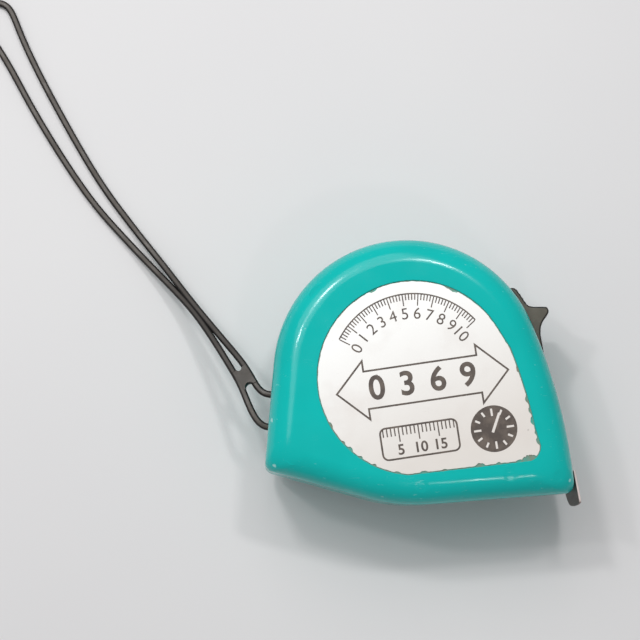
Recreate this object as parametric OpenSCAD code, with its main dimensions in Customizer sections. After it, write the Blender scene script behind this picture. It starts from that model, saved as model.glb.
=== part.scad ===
// Pocket tape measure, lying on its back: +Z out of the labelled face, +X towards the blade's mouth
// and hook, +Y from the flat base to the top of the arch. Z = 0 is the outer face of the belt clip,
// and X = Y = 0 is the middle of the whole, strap left out.
// The case's own measures start at its rear edge and at its base; placed() sets them in the frame.

/* [Case] */
// Distance of the arch's centre from the rear edge
arch_x = 34.2; // [33.6:0.1:35]
// Height of the arch's centre above the base
arch_y = 30.2; // [29.8:0.1:31]
// Radius of the arched top
arch_r = 30.9; // [30.6:0.1:32]
// Radius of the bowed front wall
front_r = 124; // [110:1:140]
// Angle on the arch where the front wall begins
front_tangent = 19; // [17:0.5:21]
// Slope of the rear end of the base
heel_slope = 20; // [17:0.5:22]
// Thickness of the case from back to label
case_t = 30; // [29.6:0.1:32]
// Rounding of the case's edges
edge_r = 6; // [4.5:0.5:6.5]
// Thickness of the case's wall
wall = 2; // [1.8:0.1:2.2]

/* [Belt clip] */
// Thickness of the clip's spring steel
clip_t = 1; // [0.8:0.1:1.2]
// Gap between the clip and the back of the case
clip_gap = 2.6; // [2.4:0.1:3]
// Width of the clip
clip_w = 20; // [16:0.5:22]

/* [Blade] */
// Width of the blade
blade_w = 19; // [18:0.5:19]
// Thickness of the blade
blade_t = 0.16; // [0.12:0.01:0.18]
// Radius of the blade's hollow cross-section
blade_curve_r = 25; // [22:0.5:30]
// Outer radius of the wound blade
coil_r = 24; // [22:0.1:24.2]
// Thickness of the end hook's plate
hook_t = 0.5; // [0.4:0.1:0.6]
// Sliding play of the hook on its rivets
hook_play = 0.9; // [0.5:0.1:1]

/* [Lock] */
// Width of the lock button
lock_w = 12; // [10:0.5:13]
// Angle that the lock slides through
lock_travel = 13; // [8:1:13]

/* [Strap] */
// Diameter of the wrist strap's strand
strap_d = 1.6; // [1.4:0.1:1.6]

/* [Hidden] */
$fn = 64;

// Heights through the thickness of the case
back_z = clip_t + clip_gap;
front_z = back_z + case_t;
mid_z = back_z + case_t / 2;
inner_back_z = back_z + wall;
inner_front_z = front_z - wall;

// Outline of the case
arch_c = [arch_x, arch_y];
front_c = arch_c - (front_r - arch_r) * [cos(front_tangent), sin(front_tangent)];
corner_r = 2.2;
mouth_x = front_c[0] + front_r;
heel_c = [corner_r, 12.2];
heel_normal = 270 - heel_slope;
heel_run = heel_c - arch_c;
rear_tangent = 360 + atan2(heel_run[1], heel_run[0]) - acos((arch_r - corner_r) / norm(heel_run));
blend_r = 41.8;
blend_x = (heel_c[0] * cos(heel_normal) + heel_c[1] * sin(heel_normal) + corner_r
           - blend_r * (1 + sin(heel_normal))) / cos(heel_normal);

// Label
label_c = [35.2, 28.8];
label_r = 22;
label_front_r = 116.3;
label_t = 0.25;
label_recess = 0.4;

// Case screws, from the heel, the toe and the rear shoulder of the arch
shoulder_angle = 135;
screw_points = [[7, 13.8], [62, 10.8], arch_c + 27.2 * [cos(shoulder_angle), sin(shoulder_angle)]];
boss_radii = [2.8, 2.6, 1.95];
screw_r = 1;
screw_head_r = 1.8;
screw_head_z = back_z + 2.6;
screw_head_t = 1.5;
screw_end_z = 24;

// Drum, its post and the washers
post_r = 3.2;
post_z = back_z + 2.6;
post_end_z = inner_front_z - 0.4;
post_slot = 0.9;
socket_r = 5;
running_gap = 0.08;
drum_z = inner_back_z + 2;
drum_flange_t = 1;
drum_r = 17.9;
drum_wall = 1.1;
flange_r = coil_r + 0.8;
cover_z = mid_z + 9.8;
washer_t = 0.35;
anchor_angle = 60;

// Blade sections behind the tip; the stack lies on the floor of the mouth
sections = 4;
stack_x = 33;
section_l = 25;
stack_y = wall + 0.3;
stack_pitch = 0.32;
mouth_y = [1.9, 6];
mouth_w = blade_w + 1;
tip_end_x = mouth_x - 0.5;
tip_y = stack_y + sections * stack_pitch;

// End hook, with its bend just outside the mouth
hook_w = 18.6;
tongue_w = 13;
tongue_l = 11;
tongue_y = tip_y + blade_t + 0.08;
leg_x = mouth_x + 0.2;
leg_tip_y = -3;
leg_lean = 5.5;
leg_arc_r = 30;
leg_corner_r = 1.5;
rivets = [[-7.6, 0], [-3.6, -3.3], [-3.6, 3.3]];
rivet_r = 0.9;

// Lock, about the arch's centre
button_in_r = 31.1;
button_angles = [4, 35.5];
neck_angles = [9, 32];
band_r = [27, 28.4];
band_angles = [-44, 62];
band_w = 15;
window_angles = [button_angles[0] - lock_travel - 1, neck_angles[1] + 1.5];
window_gap = 0.3;
// Outer edge of the button as [angle, radius], with the thumb fin at 20 degrees
button_edge = [[4, 32.3], [8, 32.4], [12, 32.6], [15, 33.2], [17, 34.2], [18.6, 35.7], [19.8, 36.4],
               [21.3, 36.4], [22, 35.8], [25, 32.8], [30, 32.5], [33.6, 32.5], [35, 32], [35.5, 31.5]];

// Belt clip, fixed above its bends and free towards the base; the arm flexes about the centre of
// its upper bend
clip_hinge_y = 43.5;
clip_screw_y = 48.5;
clip_free_y = 10;
clip_bend_r = 1.8;
clip_bend_angle = 50;
clip_hinge_z = back_z - clip_t / 2 - clip_bend_r;
bend_drop = clip_bend_r * (1 - cos(clip_bend_angle));
lower_bend = [clip_hinge_y - 2 * clip_bend_r * sin(clip_bend_angle)
              - (clip_gap - 2 * bend_drop) / tan(clip_bend_angle), clip_t / 2 + clip_bend_r];

// Strap pin in the rear wall, and the window in front of it
pin_c = [4.8, 25.4];
pin_r = 2.4;
pin_window = [[18.4, 32.4], [mid_z - 4, mid_z + 4]];
pin_reach = 3;

// Spread of the finished whole, without the strap
leg_l = tongue_y - leg_tip_y;
whole_x = leg_x + leg_l * tan(leg_lean) + hook_t * cos(leg_lean);
whole_y = arch_y + arch_r;
shift = [-whole_x / 2, -(leg_tip_y + whole_y) / 2, 0];

// Route of the strap's one strand, as [x, y, z]: from the back of the pin, out along the upper side
// of the loop, round its far end and home along the lower side
strap_route = [
    [8.1, 25.7, 18.6], [7.3, 27.6, 18.6], [5.2, 28.7, 18.6], [2.8, 28.4, 18.5], [1, 29.2, 18.2],
    [-0.4, 31.1, 17.5], [-1.8, 33.5, 16.6], [-3.4, 36.5, 15.3], [-6.7, 41.3, 12.8], [-11.4, 48, 9.8],
    [-16.3, 55.4, 6.2], [-21, 62.9, 3.2], [-26, 70.2, 1.5], [-30.6, 77.4, 0.9], [-35.6, 85.4, 0.8],
    [-44, 103, 0.8], [-51, 119.4, 0.8], [-53.2, 126.2, 0.8], [-55.4, 130.2, 0.8], [-58.8, 131, 0.8],
    [-61, 128.2, 0.8], [-60, 124, 0.8], [-56.6, 118, 0.8], [-52.6, 109.2, 0.8], [-48.4, 100, 0.8],
    [-38.8, 82, 0.8], [-32.4, 73.4, 0.9], [-25.8, 65, 1.8], [-19.4, 57.2, 4.6], [-14, 50.2, 8.2],
    [-9.5, 42, 12.2], [-6.6, 36.2, 14.6], [-4.6, 32.1, 16.4], [-3.5, 28.8, 17.3], [-2.5, 25.4, 17.9],
    [-1.2, 22.6, 18.3], [0.6, 20.8, 18.5], [3.2, 20.6, 18.6], [6.2, 22, 18.6], [8.1, 25.1, 18.6]];
strap_sides = 8;
bridge_c = [-3.2, 32.8, 16.5];
bridge_turn = 119;
bridge_tilt = 20;
bridge_l = 5.2;
bridge_w = 2.6;

// ---- shared functions -------------------------------------------------------------------------

function polar(a, r) = r * [cos(a), sin(a)];
function arc(c, r, from, to, n) = [for (i = [0 : n]) c + polar(from + (to - from) * i / n, r)];
function unit(v) = v / norm(v);
function along(p, i) = unit(p[min(i + 1, len(p) - 1)] - p[max(i - 1, 0)]);
function left_of(d) = [-d[1], d[0]];
// Outline of a strip of thickness t that follows the points p
function strip(p, t) = concat(
    [for (i = [0 : len(p) - 1]) p[i] + left_of(along(p, i)) * t / 2],
    [for (i = [len(p) - 1 : -1 : 0]) p[i] - left_of(along(p, i)) * t / 2]);
// Rise of the hollow blade at a distance w from its middle
function rise(w) = blade_curve_r - sqrt(pow(blade_curve_r, 2) - w * w);
// Cross-section as [y, z]: a hollow strip of width w and thickness t whose middle rests at y
function hollow(y, w, t, n = 16) = concat(
    [for (i = [0 : n]) let (q = w * (i / n - 0.5)) [y + rise(q), mid_z + q]],
    [for (i = [n : -1 : 0]) let (q = w * (i / n - 0.5)) [y + t + rise(q), mid_z + q]]);
// Outline of the case, moved in by d, with its heel and toe rounded to the radius r
function case_outline(d, r) =
    let (heel = heel_c + polar((rear_tangent + heel_normal) / 2 - 180,
                               (d + r - corner_r) / cos((heel_normal - rear_tangent) / 2)),
         toe_angle = asin((d + r - front_c[1]) / (front_r - d - r)),
         toe = front_c + polar(toe_angle, front_r - d - r))
    concat(arc(arch_c, arch_r - d, front_tangent, 90, 12), arc(arch_c, arch_r - d, 96, rear_tangent, 12),
           arc(heel, r, 180, heel_normal, 4),
           arc([blend_x, blend_r], blend_r - d, heel_normal + 4, 270, 4),
           arc(toe, r, 285, 360 + toe_angle, 4),
           arc(front_c, front_r - d, toe_angle + 3, front_tangent - 3, 5));
// Faces of a solid that joins count rings of n points, each ring in the order seen from the last one
function ring_faces(n, count) = concat(
    [[for (k = [0 : n - 1]) k]], [[for (k = [n - 1 : -1 : 0]) (count - 1) * n + k]],
    [for (i = [0 : count - 2], k = [0 : n - 1])
        [i * n + k, (i + 1) * n + k, (i + 1) * n + (k + 1) % n, i * n + (k + 1) % n]]);
function label_outline(grow) = concat(
    arc(label_c, label_r + grow, 27, 262, 40),
    arc([59.3, 11.1], 3 + grow, 273, 365, 6),
    arc(front_c, label_front_r + grow, 7.5, 17, 5));
// Point at t between p[i] and p[i + 1] on a smooth curve through the points p
function smooth_at(p, i, t) =
    let (a = p[max(i - 1, 0)], b = p[i], c = p[i + 1], d = p[min(i + 2, len(p) - 1)])
    0.5 * (2 * b + (c - a) * t + (2 * a - 5 * b + 4 * c - d) * t * t
           + (3 * b - a - 3 * c + d) * t * t * t);
function smooth(p) = concat(
    [for (i = [0 : len(p) - 2], t = [0, 0.5]) smooth_at(p, i, t)], [p[len(p) - 1]]);

// ---- shared modules ---------------------------------------------------------------------------

module placed() translate(shift) children();

// Extrudes a [y, z] outline from x over a length
module along_x(x, length) translate([x, 0, 0]) rotate([90, 0, 90]) linear_extrude(length) children();

// Ring sector about the arch's centre
module sector(radii, angles, z, height)
    translate([arch_x, arch_y, z]) rotate([0, 0, angles[0]])
        rotate_extrude(angle = angles[1] - angles[0], $fn = 128)
            translate([radii[0], 0]) square([radii[1] - radii[0], height]);

// Half of the case's form, from its face at z = start up to the joint between the shells, with its
// walls moved in by inset, the edge of its face rounded and its corners softer towards the face
module half_form(inset, start, round_r) {
    steps = 6;
    rim_r = max(corner_r - inset, 0.8);
    rings = [for (i = [steps : -1 : 0]) let (a = 90 * i / steps)
        [inset + round_r * (1 - cos(a)), rim_r + 3 * sin(a), start + round_r * (1 - sin(a))]];
    all_rings = concat(rings, [[inset, rim_r, case_t / 2]]);
    polyhedron(points = [for (g = all_rings) each [for (p = case_outline(g[0], g[1])) [each p, g[2]]]],
               faces = ring_faces(len(case_outline(0, corner_r)), len(all_rings)));
}

// Sets a half form as the rear half, or turned over as the front half
module rear_half() translate([0, 0, back_z]) children();
module front_half() translate([0, 0, front_z]) mirror([0, 0, 1]) children();

// Bosses that both shells raise inside, between two heights
module bosses(z0, z1) {
    for (i = [0 : 2]) translate([each screw_points[i], z0]) cylinder(r = boss_radii[i], h = z1 - z0);
}

// Everything that is cut out of both shells
module openings() {
    along_x(mouth_x - 10, 20) translate([mouth_y[0], mid_z - mouth_w / 2])
        square([mouth_y[1] - mouth_y[0], mouth_w]);
    sector([band_r[1] + 0.2, arch_r + 6], window_angles, mid_z - lock_w / 2 - window_gap,
           lock_w + 2 * window_gap);
    translate([-2, pin_window[0][0], pin_window[1][0]])
        cube([pin_c[0] + pin_r + 3.2, pin_window[0][1] - pin_window[0][0],
              pin_window[1][1] - pin_window[1][0]]);
    translate([each pin_c, mid_z - 4 - pin_reach]) cylinder(r = pin_r, h = 8 + 2 * pin_reach);
}

module pan_screw(head_r, head_t, shank_r, length) {
    difference() {
        cylinder(r1 = head_r * 0.8, r2 = head_r, h = head_t);
        translate([-head_r * 0.6, -0.25, -1]) cube([head_r * 1.2, 0.5, 1.6]);
        translate([-0.25, -head_r * 0.6, -1]) cube([0.5, head_r * 1.2, 1.6]);
    }
    translate([0, 0, head_t]) cylinder(r = shank_r, h = length);
}

// ---- case -------------------------------------------------------------------------------------

module front_shell() color("lightseagreen") placed() difference() {
    front_half() half_form(0, 0, edge_r);
    difference() {
        front_half() half_form(wall, wall, edge_r - wall);
        bosses(mid_z, front_z);
        translate([arch_x, arch_y, inner_front_z - 1.6]) cylinder(r = socket_r, h = 4);
        translate([each pin_c, mid_z + 4]) cylinder(r = pin_r + 1.2, h = 5);
    }
    translate([0, 0, mid_z - 1]) linear_extrude(2.3) polygon(case_outline(wall / 2, 1.2));
    translate([0, 0, front_z - label_recess]) linear_extrude(1) polygon(label_outline(0.3));
    translate([arch_x, arch_y, 0]) cylinder(r = post_r, h = post_end_z);
    for (p = screw_points) translate([each p, 0]) cylinder(r = screw_r, h = screw_end_z + 1);
    openings();
}

module rear_shell() color("lightseagreen") placed() difference() {
    union() {
        difference() {
            rear_half() half_form(0, 0, edge_r);
            difference() {
                rear_half() half_form(wall, wall, edge_r - wall);
                bosses(back_z, mid_z);
                translate([arch_x, arch_y, back_z]) cylinder(r = socket_r, h = 3.4);
                for (x = [-5, 5]) translate([arch_x + x, clip_screw_y, back_z]) cylinder(r = 2.4, h = 3.3);
                translate([each pin_c, mid_z - 9]) cylinder(r = pin_r + 1.2, h = 5);
            }
        }
        translate([0, 0, mid_z - 0.5]) linear_extrude(1.7) difference() {
            polygon(case_outline(wall / 2 + 0.1, 1.1));
            polygon(case_outline(wall, 0.8));
        }
    }
    translate([arch_x, arch_y, post_z]) cylinder(r = post_r, h = case_t);
    translate([arch_x, arch_y, back_z - 1]) cylinder(r = 1.5, h = 6);
    translate([arch_x, arch_y, back_z - 0.01]) cylinder(r1 = 2.8, r2 = 1.5, h = 1.4);
    for (x = [-5, 5]) translate([arch_x + x, clip_screw_y, back_z - 1]) cylinder(r = 1.1, h = 4);
    for (p = screw_points) translate([each p, 0]) {
        cylinder(r = screw_r + 0.15, h = case_t);
        cylinder(r = screw_head_r + 0.2, h = screw_head_z + screw_head_t);
    }
    openings();
}

module front_label() color("whitesmoke") placed()
    translate([0, 0, front_z - label_recess]) linear_extrude(label_t) polygon(label_outline(0));

module case_screws() color("dimgray") placed()
    for (p = screw_points) translate([each p, screw_head_z])
        pan_screw(screw_head_r, screw_head_t, screw_r, screw_end_z - screw_head_z - screw_head_t);

module strap_pin() color("gray") placed()
    translate([each pin_c, mid_z - 4 - pin_reach]) cylinder(r = pin_r, h = 8 + 2 * pin_reach);

// ---- drum and spring --------------------------------------------------------------------------

module centre_post() color("silver") placed() translate([arch_x, arch_y, 0]) difference() {
    translate([0, 0, post_z]) cylinder(r = post_r, h = post_end_z - post_z);
    translate([-post_slot / 2, -post_r - 1, 9.4]) cube([post_slot, 2 * post_r + 2, case_t]);
    cylinder(r = 1.2, h = 9.2);
}

module post_screw() color("silver") placed() translate([arch_x, arch_y, back_z]) difference() {
    union() {
        cylinder(r1 = 2.7, r2 = 1.4, h = 1.4);
        cylinder(r = 1.2, h = 5.4);
    }
    for (turn = [0, 90]) rotate([0, 0, turn]) translate([-1.6, -0.3, -1]) cube([3.2, 0.6, 1.6]);
}

module post_washers() color("ivory") placed()
    for (z = [drum_z - 0.05 - washer_t, cover_z + drum_flange_t + 0.05])
        translate([arch_x, arch_y, z]) difference() {
            cylinder(r = socket_r, h = washer_t);
            translate([0, 0, -1]) cylinder(r = post_r + running_gap, h = 3);
        }

module drum() color("dimgray") placed() translate([arch_x, arch_y, 0]) difference() {
    union() {
        translate([0, 0, drum_z]) cylinder(r = flange_r, h = drum_flange_t, $fn = 128);
        translate([0, 0, drum_z]) cylinder(r = drum_r, h = cover_z - drum_z, $fn = 128);
    }
    difference() {
        translate([0, 0, drum_z + drum_flange_t]) cylinder(r = drum_r - drum_wall, h = case_t);
        cylinder(r = socket_r, h = drum_z + drum_flange_t + 0.8);
    }
    cylinder(r = post_r + running_gap, h = case_t);
    for (a = [0 : 60 : 300]) rotate([0, 0, a]) translate([21, 0, 0]) cylinder(r = 1.6, h = 12);
    rotate([0, 0, anchor_angle]) translate([drum_r - 3, -0.7, mid_z - 4.2]) cube([5, 1.4, 8.4]);
}

module drum_cover() color("slategray") placed() translate([arch_x, arch_y, cover_z]) difference() {
    union() {
        cylinder(r = flange_r, h = drum_flange_t, $fn = 128);
        translate([0, 0, -0.8]) cylinder(r = drum_r - drum_wall - 0.15, h = 1);
    }
    translate([0, 0, -1]) cylinder(r = drum_r - drum_wall - 1, h = 1);
    translate([0, 0, -1]) cylinder(r = post_r + running_gap, h = 4);
    for (a = [30 : 60 : 330]) rotate([0, 0, a]) translate([21, 0, -1]) cylinder(r = 1.6, h = 4);
}

module blade_coil() color("gold") placed() translate([arch_x, arch_y, mid_z - blade_w / 2]) {
    turns = 9;
    pitch = 0.58;
    steps = 36;
    linear_extrude(blade_w) polygon(strip(
        [for (i = [0 : turns * steps]) polar(-90 - 360 * i / steps, coil_r - 0.2 - pitch * i / steps)],
        0.4));
}

module blade_anchor() color("silver") placed()
    translate([arch_x, arch_y, mid_z - 4]) rotate([0, 0, anchor_angle]) {
        translate([drum_r - 1.7, -0.55, 0]) cube([2, 1.1, 8]);
        translate([drum_r - 1.6, -1.6, 0]) cube([0.4, 3.2, 8]);
        translate([drum_r + 0.05, -1.6, 0]) cube([0.25, 3.2, 8]);
    }

module power_spring() color("darkgray") placed() translate([arch_x, arch_y, 0]) {
    packed = 6;
    loose = 3 + (anchor_angle + 90) / 360;
    steps = 36;
    out_r = 15.9;
    pitch = 0.42;
    in_r = post_r + 0.35;
    loose_r = out_r - packed * pitch;
    spiral = [for (i = [0 : round((packed + loose) * steps)]) let (n = i / steps, k = (n - packed) / loose)
        polar(anchor_angle - 360 * n, n < packed ? out_r - pitch * n
              : loose_r + (in_r - loose_r) * k * (1.35 - 0.35 * k))];
    translate([0, 0, drum_z + drum_flange_t + 1]) linear_extrude(17)
        polygon(strip(concat(spiral, [[-0.15, -3], [0, -2]]), 0.22));
}

// ---- blade and hook ---------------------------------------------------------------------------

module blade_section(i) color("gold") placed()
    along_x(stack_x, section_l) polygon(hollow(stack_y + (i - 1) * stack_pitch, blade_w, blade_t));

module blade_tip() color("gold") placed() difference() {
    along_x(stack_x, tip_end_x - stack_x) polygon(hollow(tip_y, blade_w, blade_t));
    at_rivets() cylinder(r = rivet_r, h = 4, center = true);
}

// Puts its children at each rivet, with their z along the rivet and 0 on the blade's lower face
module at_rivets() for (p = rivets)
    translate([leg_x + p[0], tip_y + rise(p[1]), mid_z + p[1]]) rotate([-90, 0, 0]) children();

module hook_rivets() color("silver") placed() at_rivets() {
    translate([0, 0, -0.36]) cylinder(r1 = 1.1, r2 = 1.5, h = 0.34);
    translate([0, 0, -0.1]) cylinder(r = rivet_r, h = blade_t + hook_t + 0.6);
    translate([0, 0, blade_t + hook_t + 0.42]) cylinder(r1 = 1.6, r2 = 1.1, h = 0.4);
}

module end_hook() color("silver") placed() {
    difference() {
        along_x(leg_x - tongue_l, tongue_l + hook_t / 2) polygon(hollow(tongue_y, tongue_w, hook_t));
        at_rivets() {
            for (x = [-hook_play - 0.05, 0.05]) translate([x, 0, -1]) cylinder(r = rivet_r + 0.05, h = 4);
            translate([-hook_play, -rivet_r - 0.05, -1]) cube([hook_play, 2 * rivet_r + 0.1, 4]);
        }
    }
    translate([leg_x, tongue_y, 0]) rotate([0, 0, leg_lean]) along_x(0, hook_t) polygon(hook_leg());
}

// Outline of the hook's leg as [y, z], down from its bend to a bowed edge with round corners
function hook_leg() =
    let (bow_y = leg_arc_r - leg_l / cos(leg_lean), half = hook_w / 2 - leg_corner_r,
         a = asin(half / (leg_arc_r - leg_corner_r)), corner_y = bow_y - (leg_arc_r - leg_corner_r) * cos(a))
    concat([for (i = [0 : 8]) let (q = hook_w * (i / 8 - 0.5)) [hook_t + rise(q) / 2, mid_z + q]],
           arc([corner_y, mid_z + half], leg_corner_r, 90, 165 - a, 4),
           arc([bow_y, mid_z], leg_arc_r, 180 - a, 180 + a, 10),
           arc([corner_y, mid_z - half], leg_corner_r, 195 + a, 270, 4));

// ---- lock -------------------------------------------------------------------------------------

module lock_button() color("#2e2e2c") placed() {
    translate([arch_x, arch_y, mid_z - lock_w / 2]) linear_extrude(lock_w) polygon(concat(
        [for (e = button_edge) polar(e[0], e[1])],
        arc([0, 0], button_in_r, button_angles[1], button_angles[0], 12)));
    sector([band_r[1], button_in_r + 0.3], neck_angles, mid_z - lock_w / 2 + 0.4, lock_w - 0.8);
}

module lock_band() color("#2e2e2c") placed() {
    sector(band_r, band_angles, mid_z - band_w / 2, band_w);
    sector([band_r[0], band_r[1] + 0.8], [band_angles[0], band_angles[0] + 6], mid_z - 5, 10);
}

// ---- belt clip --------------------------------------------------------------------------------

// Middle line of the clip's arm as [y, z], from the end of its upper bend to its free end
function clip_line() = concat(
    [[clip_hinge_y, clip_hinge_z] + polar(90 + clip_bend_angle, clip_bend_r)],
    arc(lower_bend, clip_bend_r, clip_bend_angle - 90, -90, 5),
    [[18.4, clip_t / 2], [16.8, clip_t / 2 + 0.4], [14.8, clip_t / 2 + 1.5], [13.6, clip_t / 2 + 1.6],
     [12.4, clip_t / 2 + 1.2], [clip_free_y, clip_t / 2 + 0.2]]);

module clip_plate() color("silver") placed() difference() {
    translate([arch_x - clip_w / 2, clip_hinge_y + 0.1, back_z - clip_t]) cube([clip_w, 9.5, clip_t]);
    for (x = [-5, 5]) translate([arch_x + x, clip_screw_y, 0]) cylinder(r = 1.2, h = case_t);
}

module clip_arm() color("silver") placed() {
    translate([arch_x - clip_w / 2, clip_hinge_y, clip_hinge_z]) rotate([90, 0, 90]) rotate([0, 0, 90])
        rotate_extrude(angle = clip_bend_angle)
            translate([clip_bend_r - clip_t / 2, 0]) square([clip_t, clip_w]);
    along_x(arch_x - clip_w / 2, clip_w) polygon(strip(clip_line(), clip_t));
}

module clip_screws() color("dimgray") placed()
    for (x = [-5, 5]) translate([arch_x + x, clip_screw_y, back_z - clip_t - 1.2])
        pan_screw(2.2, 1.2, 1.1, 4.2);

// ---- wrist strap ------------------------------------------------------------------------------

function ring(c, t) = let (s = unit(cross([0, 0, 1], t)), u = cross(t, s)) [for (k = [0 : strap_sides - 1])
    c + strap_d / 2 * (cos(360 * (k + 0.5) / strap_sides) * s + sin(360 * (k + 0.5) / strap_sides) * u)];

module wrist_strap() color("#4a4a40") placed() {
    path = smooth(strap_route);
    polyhedron(points = [for (i = [0 : len(path) - 1]) each ring(path[i], along(path, i))],
               faces = ring_faces(strap_sides, len(path)));
}

module strap_bridge() color("#4a4a40") placed()
    translate(bridge_c) rotate([0, bridge_tilt, bridge_turn]) hull()
        for (x = [-1, 1], y = [-1, 1])
            translate([x * (bridge_l - strap_d) / 2, y * bridge_w / 2, 0])
                sphere(d = strap_d + 0.1, $fn = 16);

front_shell();
rear_shell();
front_label();
case_screws();
centre_post();
post_screw();
post_washers();
strap_pin();
clip_plate();
clip_arm();
clip_screws();
drum();
drum_cover();
blade_coil();
blade_anchor();
power_spring();
blade_section(1);  // blade_section_1
blade_section(2);  // blade_section_2
blade_section(3);  // blade_section_3
blade_section(4);  // blade_section_4
blade_tip();
hook_rivets();
end_hook();
lock_button();
lock_band();
wrist_strap();
strap_bridge();
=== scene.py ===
"""Looks of a pocket tape measure that lies on its back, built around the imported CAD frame.

Measures are millimetres from the rear edge of the case (x), from its base (y) and from the outer
face of the belt clip (z). spot() puts them in the frame, in metres.
"""
from math import acos, asin, atan2, cos, degrees, pi, radians, sin, sqrt, tan

import bmesh
import bpy
from mathutils import Matrix, Vector, noise


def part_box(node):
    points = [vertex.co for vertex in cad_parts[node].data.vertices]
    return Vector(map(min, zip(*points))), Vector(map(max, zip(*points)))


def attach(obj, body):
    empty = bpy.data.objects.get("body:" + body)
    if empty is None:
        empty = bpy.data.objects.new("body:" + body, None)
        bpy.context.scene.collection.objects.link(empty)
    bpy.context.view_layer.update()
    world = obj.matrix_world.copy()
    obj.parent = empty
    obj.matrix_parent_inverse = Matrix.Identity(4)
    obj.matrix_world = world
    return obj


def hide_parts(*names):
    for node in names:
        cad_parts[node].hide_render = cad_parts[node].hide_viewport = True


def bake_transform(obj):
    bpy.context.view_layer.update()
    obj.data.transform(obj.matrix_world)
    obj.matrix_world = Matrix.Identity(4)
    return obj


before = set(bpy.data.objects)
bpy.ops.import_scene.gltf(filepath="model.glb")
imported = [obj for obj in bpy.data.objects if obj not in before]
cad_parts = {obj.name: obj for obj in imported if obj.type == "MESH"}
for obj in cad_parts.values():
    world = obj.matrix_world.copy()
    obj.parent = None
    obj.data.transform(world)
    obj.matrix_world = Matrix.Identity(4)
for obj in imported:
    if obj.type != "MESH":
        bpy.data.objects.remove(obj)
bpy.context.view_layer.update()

MM = 0.001
CORNER = Vector((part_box("rear_shell")[0].x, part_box("rear_shell")[0].y, 0.0))

# Case: the same arcs as its CAD outline
ARCH_C = Vector((34.2, 30.2))
ARCH_R = 30.9
FRONT_R = 124.0
FRONT_TANGENT = 19.0
FRONT_C = ARCH_C - (FRONT_R - ARCH_R) * Vector((cos(radians(FRONT_TANGENT)), sin(radians(FRONT_TANGENT))))
CORNER_R = 2.2
HEEL_C = Vector((CORNER_R, 12.2))
HEEL_NORMAL = 250.0
HEEL_RUN = HEEL_C - ARCH_C
REAR_TANGENT = (360 + degrees(atan2(HEEL_RUN.y, HEEL_RUN.x))
                - degrees(acos((ARCH_R - CORNER_R) / HEEL_RUN.length)))
BLEND_R = 41.8
MOUTH_X = FRONT_C.x + FRONT_R
EDGE_R = 6.0
WALL = 2.0
BACK_Z = 3.6
FRONT_Z = 33.6
MID_Z = 18.6
SCREWS = [Vector((7.0, 13.8)), Vector((62.0, 10.8)),
          ARCH_C + 27.2 * Vector((-sqrt(0.5), sqrt(0.5)))]
BOSS_RADII = [2.8, 2.6, 1.95]

# Label and its print
LABEL_C = Vector((35.2, 28.8))
LABEL_R = 22.0
LABEL_RECESS = 0.4
LABEL_FLOOR = FRONT_Z - LABEL_RECESS
LABEL_TOP = LABEL_FLOOR + 0.25
PRINT_C = Vector((37.0, 24.0))
PRINT_TURN = 4.0
BOLD = 0.0213

# Blade, hook and lock
BLADE_W = 19.0
BLADE_T = 0.16
HOLLOW_R = 25.0
STACK_X = 33.0
STACK_Y = 2.3
STACK_PITCH = 0.32
SECTION_L = 25.0
SECTION_SEEN = 20.2
TIP_Y = STACK_Y + 4 * STACK_PITCH
HOOK_T = 0.5
HOOK_W = 18.6
HOOK_X = MOUTH_X + 0.2
HOOK_PLAY = 0.9
RIVET_R = 0.9
RIVETS = [(-7.6, 0.0), (-3.6, -3.3), (-3.6, 3.3)]
TONGUE_Y = TIP_Y + BLADE_T + 0.08
LEG_TIP_Y = -3.0
LEG_LEAN = 5.5
LEG_ARC_R = 60.0
LEG_NEAR_R = 0.9
LEG_FAR_R = 4.5
LOCK_WINDOW = (-10.0, 33.5)

# Belt clip and wrist strap
CLIP_X = ARCH_C.x
CLIP_W = 20.0
CLIP_T = 1.0
CLIP_END = 53.1
CLIP_LIP = 10.0
CLIP_HINGE = Vector((43.5, 1.3))
CLIP_BEND_R = 1.8
CLIP_BEND = 50.0
CLIP_SCREWS = [Vector((CLIP_X + x, 48.5)) for x in (-5, 5)]
PIN = Vector((4.8, 25.4))
STRAP_D = 1.6


def spot(x, y, z):
    """Point of the frame, in metres, from the case's own millimetres."""
    return CORNER + Vector((x, y, z)) * MM


def polar(angle, radius):
    return Vector((radius * cos(radians(angle)), radius * sin(radians(angle))))


def swung(point, angle):
    """A point of a plane turned about the plane's origin."""
    return Matrix.Rotation(radians(angle), 2) @ point


def steps(start, end, count):
    """Values, or points, that lead from start to end in even steps."""
    return [start + (end - start) * i / count for i in range(count + 1)]


def arc(centre, radius, start, end, count):
    return [Vector(centre) + polar(angle, radius) for angle in steps(start, end, count)]


# ---- camera ----

def add_camera():
    """Looks down on the label from almost straight above, a little from the base's side."""
    lens = bpy.data.cameras.new("camera")
    lens.lens = 112.5
    lens.sensor_width = 36.0
    lens.clip_start = 0.01
    camera = bpy.data.objects.new("camera", lens)
    right = Vector((0.9965, -0.0776, 0.0313))
    up = Vector((0.0739, 0.9918, 0.1042))
    back = Vector((-0.0391, -0.1015, 0.9941))
    turn = Matrix((right, up, back)).transposed()
    camera.matrix_world = Matrix.Translation((-0.0387235, -0.03172, 0.48494)) @ turn.to_4x4()
    bpy.context.scene.collection.objects.link(camera)
    bpy.context.scene.camera = camera


# ---- modelling ----

def only(piece):
    """Selects one piece and nothing else."""
    bpy.ops.object.select_all(action="DESELECT")
    piece.select_set(True)
    bpy.context.view_layer.objects.active = piece


def editing(piece):
    only(piece)
    bpy.ops.object.mode_set(mode="EDIT")
    bpy.ops.mesh.select_all(action="SELECT")


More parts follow.
